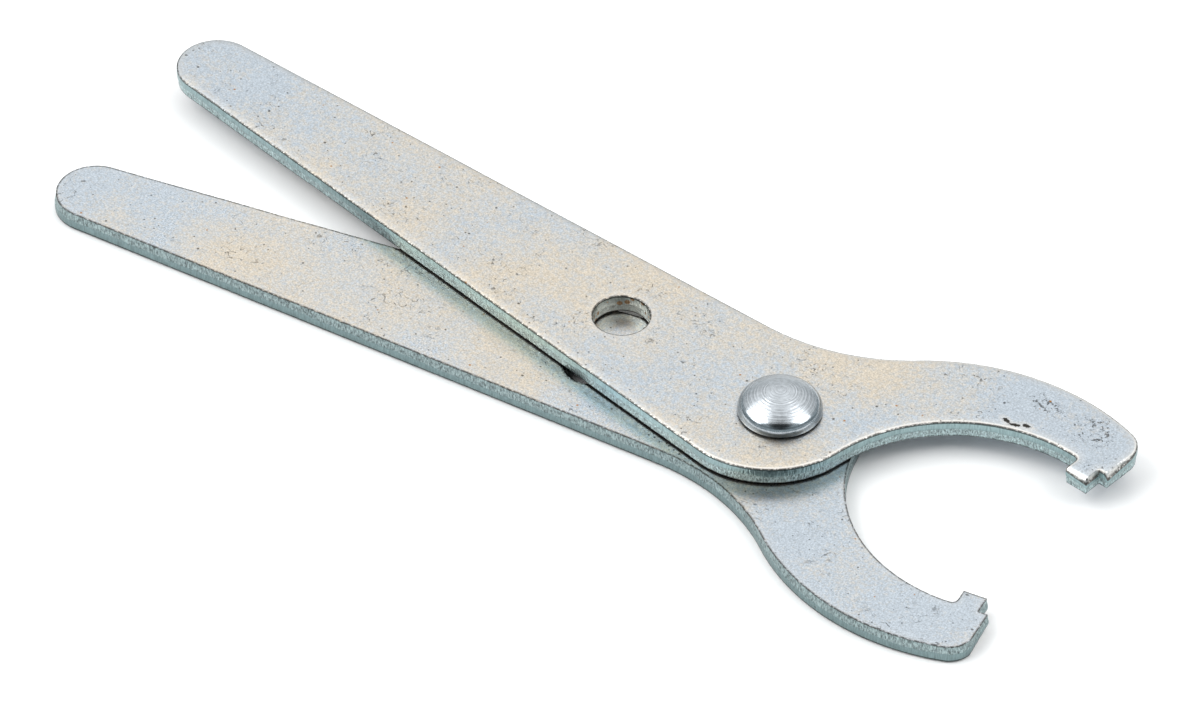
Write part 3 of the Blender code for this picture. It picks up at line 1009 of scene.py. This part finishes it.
def rivet_profile(r):
    """(radius, height) down the rivet's outer side in millimetres, from its crown to its tail's middle."""
    radius, base = r["head_diameter"] / 2, r["head_base"]
    crown, sag = r["crown_radius"], r["crown_sag"]
    profile = []
    for i in range(121):
        out = crown * i / 120
        groove = 0.035 * math.exp(-(((out - r["pip_radius"]) / 0.14) ** 2))
        profile.append((out, RIVET_HIGH.z / MM - sag * (out / crown) ** 2 - groove))
    # The shoulder carries on at the crown's slope and turns down to the upright.
    slope = math.atan(2 * sag / crown)
    bend = (radius - crown) / (1 - math.sin(slope))
    low = RIVET_HIGH.z / MM - sag - bend * math.cos(slope)
    for i in range(1, 31):
        turn = slope + (math.pi / 2 - slope) * i / 30
        profile.append((radius - bend * (1 - math.sin(turn)), low + bend * math.cos(turn)))
    profile += [(radius, base + 0.06), (radius - 0.06, base)]
    shank, tail = r["shank_diameter"] / 2, r["tail_diameter"] / 2
    profile += [(shank, base), (shank, r["tail_depth"]), (tail - 0.08, 0.08), (tail - 0.2, 0.01)]
    # The tail was spun down by a peening tool, which left a shallow ring and a centre mark.
    for i in range(1, 41):
        out = (tail - 0.2) * (1 - i / 40)
        ring = 0.05 * math.exp(-(((out - 2.6) / 0.4) ** 2)) + 0.12 * math.exp(-((out / 0.5) ** 2))
        profile.append((out, 0.01 + ring))
    return profile


def turning_tree():
    """A tree that turns a profile's points about Z, with the lathe tool's rings across the head."""
    tree = bpy.data.node_groups.new("Turned with lathe rings", "GeometryNodeTree")
    sockets = (
        ("Profile", "NodeSocketGeometry"),
        ("Profile Points", "NodeSocketInt"),
        ("Sides", "NodeSocketInt"),
        ("Ring Pitch", "NodeSocketFloat"),
        ("Ring Depth", "NodeSocketFloat"),
        ("Ring Reach", "NodeSocketFloat"),
        ("Ring Floor", "NodeSocketFloat"),
        ("Steel", "NodeSocketMaterial"),
    )
    for name, kind in sockets:
        tree.interface.new_socket(name, in_out="INPUT", socket_type=kind)
    tree.interface.new_socket("Turned", in_out="OUTPUT", socket_type="NodeSocketGeometry")
    given = add(tree, "NodeGroupInput").outputs
    around = add(tree, "ShaderNodeMath", {0: given["Sides"], 1: 1}, operation="ADD").outputs[0]
    grid = add(tree, "GeometryNodeMeshGrid", {"Vertices X": given["Profile Points"], "Vertices Y": around})
    number = add(tree, "GeometryNodeInputIndex").outputs[0]
    part = add(tree, "ShaderNodeMath", {0: number, 1: around}, operation="DIVIDE").outputs[0]
    row = add(tree, "ShaderNodeMath", {0: part}, operation="FLOOR").outputs[0]
    column = add(tree, "ShaderNodeMath", {0: number, 1: around}, operation="FLOORED_MODULO").outputs[0]
    profile_place = add(tree, "GeometryNodeInputPosition").outputs[0]
    sampled = add(
        tree,
        "GeometryNodeSampleIndex",
        {"Geometry": given["Profile"], "Value": profile_place, "Index": row},
        data_type="FLOAT_VECTOR",
    )
    split = add(tree, "ShaderNodeSeparateXYZ", {0: sampled.outputs[0]}).outputs
    turn = add(tree, "ShaderNodeMath", {0: column, 1: given["Sides"]}, operation="DIVIDE").outputs[0]
    turn = add(tree, "ShaderNodeMath", {0: turn, 1: math.tau}, operation="MULTIPLY").outputs[0]
    # Each ring is one feed of the tool. Noise on the radius makes some deeper than others.
    phase = add(
        tree,
        "ShaderNodeMath",
        {0: split[0], 1: given["Ring Pitch"]},
        operation="DIVIDE",
    ).outputs[0]
    wave = add(tree, "ShaderNodeMath", {0: phase, 1: math.tau}, operation="MULTIPLY").outputs[0]
    wave = add(tree, "ShaderNodeMath", {0: wave}, operation="COSINE").outputs[0]
    uneven = add(
        tree,
        "ShaderNodeTexNoise",
        {"W": phase, "Scale": 0.8, "Detail": 1},
        noise_dimensions="1D",
    ).outputs[0]
    wave = add(tree, "ShaderNodeMath", {0: wave, 1: uneven}, operation="MULTIPLY").outputs[0]
    on_head = add(
        tree,
        "ShaderNodeMath",
        {0: split[2], 1: given["Ring Floor"]},
        operation="GREATER_THAN",
    ).outputs[0]
    fade = add(
        tree,
        "ShaderNodeMapRange",
        {"Value": split[0], "From Min": given["Ring Reach"], "From Max": 0, "To Min": 0, "To Max": 5},
    ).outputs[0]
    fade = add(tree, "ShaderNodeMath", {0: fade, 1: 1.7}, operation="MINIMUM").outputs[0]
    depth = add(tree, "ShaderNodeMath", {0: wave, 1: given["Ring Depth"]}, operation="MULTIPLY").outputs[0]
    depth = add(tree, "ShaderNodeMath", {0: depth, 1: on_head}, operation="MULTIPLY").outputs[0]
    depth = add(tree, "ShaderNodeMath", {0: depth, 1: fade}, operation="MULTIPLY").outputs[0]
    height = add(tree, "ShaderNodeMath", {0: split[2], 1: depth}, operation="SUBTRACT").outputs[0]
    cosine = add(tree, "ShaderNodeMath", {0: turn}, operation="COSINE").outputs[0]
    sine = add(tree, "ShaderNodeMath", {0: turn}, operation="SINE").outputs[0]
    x = add(tree, "ShaderNodeMath", {0: split[0], 1: cosine}, operation="MULTIPLY").outputs[0]
    y = add(tree, "ShaderNodeMath", {0: split[0], 1: sine}, operation="MULTIPLY").outputs[0]
    there = add(tree, "ShaderNodeCombineXYZ", {0: x, 1: y, 2: height}).outputs[0]
    turned = add(tree, "GeometryNodeSetPosition", {"Geometry": grid.outputs[0], "Position": there})
    closed = add(
        tree,
        "GeometryNodeMergeByDistance",
        {"Geometry": turned.outputs[0], "Distance": 0.001 * MM},
    )
    realised = add(tree, "GeometryNodeRealizeInstances", {"Geometry": closed.outputs[0]})
    painted = add(
        tree,
        "GeometryNodeSetMaterial",
        {"Geometry": realised.outputs[0], "Material": given["Steel"]},
    )
    add(tree, "NodeGroupOutput", {0: painted.outputs[0]})
    return tree


def set_inputs(modifier, values):
    """Sets a Geometry Nodes modifier's inputs by their sockets' identifiers."""
    for item in modifier.node_group.interface.items_tree:
        if item.in_out == "INPUT" and item.name in values:
            modifier[item.identifier] = values[item.name]


def rivet_piece(settings):
    r = in_millimetres(settings.rivet)
    profile = rivet_profile(r)
    mesh = bpy.data.meshes.new("rivet_profile")
    mesh.from_pydata([(x * MM, 0, z * MM) for x, z in profile], [], [])
    blank = bpy.data.objects.new("rivet_profile", mesh)
    bpy.context.scene.collection.objects.link(blank)
    modifier = blank.modifiers.new("Turned", "NODES")
    modifier.node_group = turning_tree()
    set_inputs(
        modifier,
        {
            "Profile Points": len(profile),
            "Sides": r["turns"],
            "Ring Pitch": r["ring_pitch"] * MM,
            "Ring Depth": r["ring_depth"] * MM,
            "Ring Reach": r["ring_reach"] * MM,
            "Ring Floor": r["head_base"] * MM,
            "Steel": turned_steel(settings.finish),
        },
    )
    graph = bpy.context.evaluated_depsgraph_get()
    turned = bpy.data.meshes.new_from_object(blank.evaluated_get(graph))
    bpy.data.objects.remove(blank, do_unlink=True)
    solid = bmesh.new()
    solid.from_mesh(turned)
    bmesh.ops.remove_doubles(solid, verts=solid.verts, dist=0.001 * MM)
    bmesh.ops.dissolve_degenerate(solid, edges=solid.edges, dist=0.0001 * MM)
    bmesh.ops.recalc_face_normals(solid, faces=solid.faces)
    solid.to_mesh(turned)
    solid.free()
    turned.shade_smooth()
    turned.set_sharp_from_angle(angle=math.radians(35))
    piece = bpy.data.objects.new("turned_rivet", turned)
    bpy.context.scene.collection.objects.link(piece)
    return piece


# The stage


def studio_world(studio):
    """Soft light that is whitest overhead and greyer towards the horizon."""
    world = bpy.data.worlds.new("Soft studio")
    world.use_nodes = True
    tree = world.node_tree
    tree.nodes.clear()
    direction = add(tree, "ShaderNodeTexCoord").outputs["Generated"]
    # The brightest part leans back over the tool, so that the front of the room stays dim. The
    # dark gap in front is where a camera and its stand are, and it stays there for every view.
    lean = math.radians(24)
    side = studio.azimuth + math.pi / 2
    brightest = (math.sin(lean) * math.cos(side), math.sin(lean) * math.sin(side), math.cos(lean))
    facing = add(tree, "ShaderNodeVectorMath", {0: direction, 1: brightest}, operation="DOT_PRODUCT")
    share = add(
        tree,
        "ShaderNodeMapRange",
        {"Value": facing.outputs["Value"], "From Min": 0.28, "From Max": 0.84},
        interpolation_type="SMOOTHSTEP",
    )
    raised = studio.elevation + math.radians(4)
    gap = (-math.cos(side) * math.cos(raised), -math.sin(side) * math.cos(raised), math.sin(raised))
    near = add(tree, "ShaderNodeVectorMath", {0: direction, 1: gap}, operation="DOT_PRODUCT")
    dark = add(
        tree,
        "ShaderNodeMapRange",
        {"Value": near.outputs["Value"], "From Min": 0.86, "From Max": 0.97},
        interpolation_type="SMOOTHSTEP",
    )
    sky = coated(
        tree,
        (*studio.horizon, 1),
        [(share.outputs[0], 1, studio.zenith), (dark.outputs[0], 0.92, (0, 0, 0))],
    )
    light = add(tree, "ShaderNodeBackground", {"Color": sky, "Strength": 1.08})
    add(tree, "ShaderNodeOutputWorld", {"Surface": light.outputs[0]})
    bpy.context.scene.world = world


def soft_light(name, place, target, size, watts):
    """A rectangular lamp that faces a target."""
    light = bpy.data.lights.new(name, "AREA")
    light.shape = "RECTANGLE"
    light.size, light.size_y = size
    light.energy = watts
    lamp = bpy.data.objects.new(name, light)
    lamp.location = place
    lamp.rotation_euler = (Vector(target) - Vector(place)).to_track_quat("-Z", "Y").to_euler()
    bpy.context.scene.collection.objects.link(lamp)


def studio_floor(studio):
    """A matt floor of pale board under the tool."""
    material, _, surface = new_material("Matt pale board")
    surface.inputs["Base Color"].default_value = (*studio.floor_colour, 1)
    surface.inputs["Roughness"].default_value = 0.9
    half = studio.floor_size / 2
    corners = [(-half, -half, 0), (half, -half, 0), (half, half, 0), (-half, half, 0)]
    mesh = bpy.data.meshes.new("floor")
    mesh.from_pydata(corners, [], [(0, 1, 2, 3)])
    mesh.materials.append(material)
    floor = bpy.data.objects.new("floor", mesh)
    bpy.context.scene.collection.objects.link(floor)


def studio_camera(studio):
    a, e = studio.azimuth, studio.elevation
    right = Vector((math.cos(a), math.sin(a), 0))
    back = Vector((math.sin(a) * math.cos(e), -math.cos(a) * math.cos(e), math.sin(e)))
    up = back.cross(right)
    pivot = Vector((0, 0, UPPER_ROLLED_FACE))
    camera = bpy.data.cameras.new("camera")
    camera.sensor_width = 36
    camera.lens = studio.lens
    camera.clip_start, camera.clip_end = 0.1, 20
    holder = bpy.data.objects.new("camera", camera)
    holder.location = pivot - studio.aim_left * right + studio.aim_up * up + studio.distance * back
    turned = Matrix((right, up, back)).transposed() @ Matrix.Rotation(studio.roll, 3, "Z")
    holder.rotation_euler = turned.to_euler()
    bpy.context.scene.collection.objects.link(holder)
    bpy.context.scene.camera = holder


# Operators, panel and registration


class OPENER_OT_levers(bpy.types.Operator):
    """Build both stamped levers"""

    bl_idname = "opener.levers"
    bl_label = "Levers"

    def execute(self, context):
        settings = context.scene.case_back_opener
        finish, half = settings.finish, settings.lever.handles_apart / 2
        rolled = zinc_face("Zinc plated steel, rolled face", finish, True)
        burred = zinc_face("Zinc plated steel, burr face", finish, False)
        # The lower lever's edge is the same steel at 0.72 against the upper's 0.98: painted shade.
        upper_edge = cut_edge("Blanked steel edge, upper", finish, 0.98, (0.5, finish.zinc_bright_and_highlight))
        # The lower lever's hole wall is darkened with the grime colour: painted shade down in the hole.
        lower_edge = cut_edge("Blanked steel edge, lower", finish, 0.72, (0.7, finish.grime_and_painted_shade))
        raise_upper = Matrix.Translation((0, 0, UPPER_BURR_FACE)) @ Matrix.Rotation(-half, 4, "Z")
        upper = lever_piece(
            "upper_lever_stamping",
            settings,
            raise_upper,
            False,
            1,
            [rolled, burred, upper_edge],
        )
        turned_over = Matrix.Rotation(half, 4, "Z") @ Matrix.Rotation(math.pi, 4, "X")
        lift_lower = Matrix.Translation((0, 0, LOWER_BURR_FACE)) @ turned_over
        lower = lever_piece(
            "lower_lever_stamping",
            settings,
            lift_lower,
            True,
            2,
            [rolled, burred, lower_edge],
        )
        for piece, body in ((upper, "upper"), (lower, "lower")):
            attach(piece, body)
            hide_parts(body + "_lever")
        return {"FINISHED"}


class OPENER_OT_rivet(bpy.types.Operator):
    """Turn the pivot rivet"""

    bl_idname = "opener.rivet"
    bl_label = "Rivet"

    def execute(self, context):
        rivet = rivet_piece(context.scene.case_back_opener)
        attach(rivet, "lower")
        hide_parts("pivot_rivet")
        return {"FINISHED"}


class OPENER_OT_stage(bpy.types.Operator):
    """Lay the floor, set the lights and place the camera"""

    bl_idname = "opener.stage"
    bl_label = "Stage"

    def execute(self, context):
        studio = context.scene.case_back_opener.studio
        studio_floor(studio)
        studio_world(studio)
        soft_light("overhead softbox", (-0.45, 0.66, 1.6), (-0.2, 0.3, 0), (2.6, 2.6), 6)
        # The other two stand as far out as they are high, each so many degrees round from the camera.
        reach = 1.1
        for name, turn, width, watts in (
            ("left softbox", -84, 1.3, 15.0),
            ("right softbox", 76, 0.9, 7.5),
        ):
            around = studio.azimuth + math.radians(turn)
            place = (reach * math.sin(around), -reach * math.cos(around), reach)
            soft_light(name, place, (0, 0, 0), (width, 1.1), watts)
        studio_camera(studio)
        context.scene.view_settings.view_transform = "Standard"
        return {"FINISHED"}


class OPENER_PT_panel(bpy.types.Panel):
    """Builds the tool piece by piece"""

    bl_label = "Case back opener"
    bl_idname = "OPENER_PT_panel"
    bl_space_type = "VIEW_3D"
    bl_region_type = "UI"
    bl_category = "Case back opener"

    def draw(self, context):
        settings = context.scene.case_back_opener
        for operator in (OPENER_OT_levers, OPENER_OT_rivet, OPENER_OT_stage):
            self.layout.operator(operator.bl_idname)
        for group in (settings.lever, settings.press, settings.rivet, settings.finish, settings.studio):
            box = self.layout.box()
            for name in group.bl_rna.properties.keys():
                if name not in ("rna_type", "name"):
                    box.prop(group, name)


CLASSES = (
    LeverSizes,
    PressMarks,
    RivetSizes,
    Finishes,
    Studio,
    OpenerSettings,
    OPENER_OT_levers,
    OPENER_OT_rivet,
    OPENER_OT_stage,
    OPENER_PT_panel,
)


def register():
    for each in CLASSES:
        bpy.utils.register_class(each)
    bpy.types.Scene.case_back_opener = bpy.props.PointerProperty(type=OpenerSettings)


def unregister():
    del bpy.types.Scene.case_back_opener
    for each in reversed(CLASSES):
        bpy.utils.unregister_class(each)


def main():
    register()
    bpy.ops.opener.levers()
    bpy.ops.opener.rivet()
    bpy.ops.opener.stage()


if __name__ == "__main__":
    main()
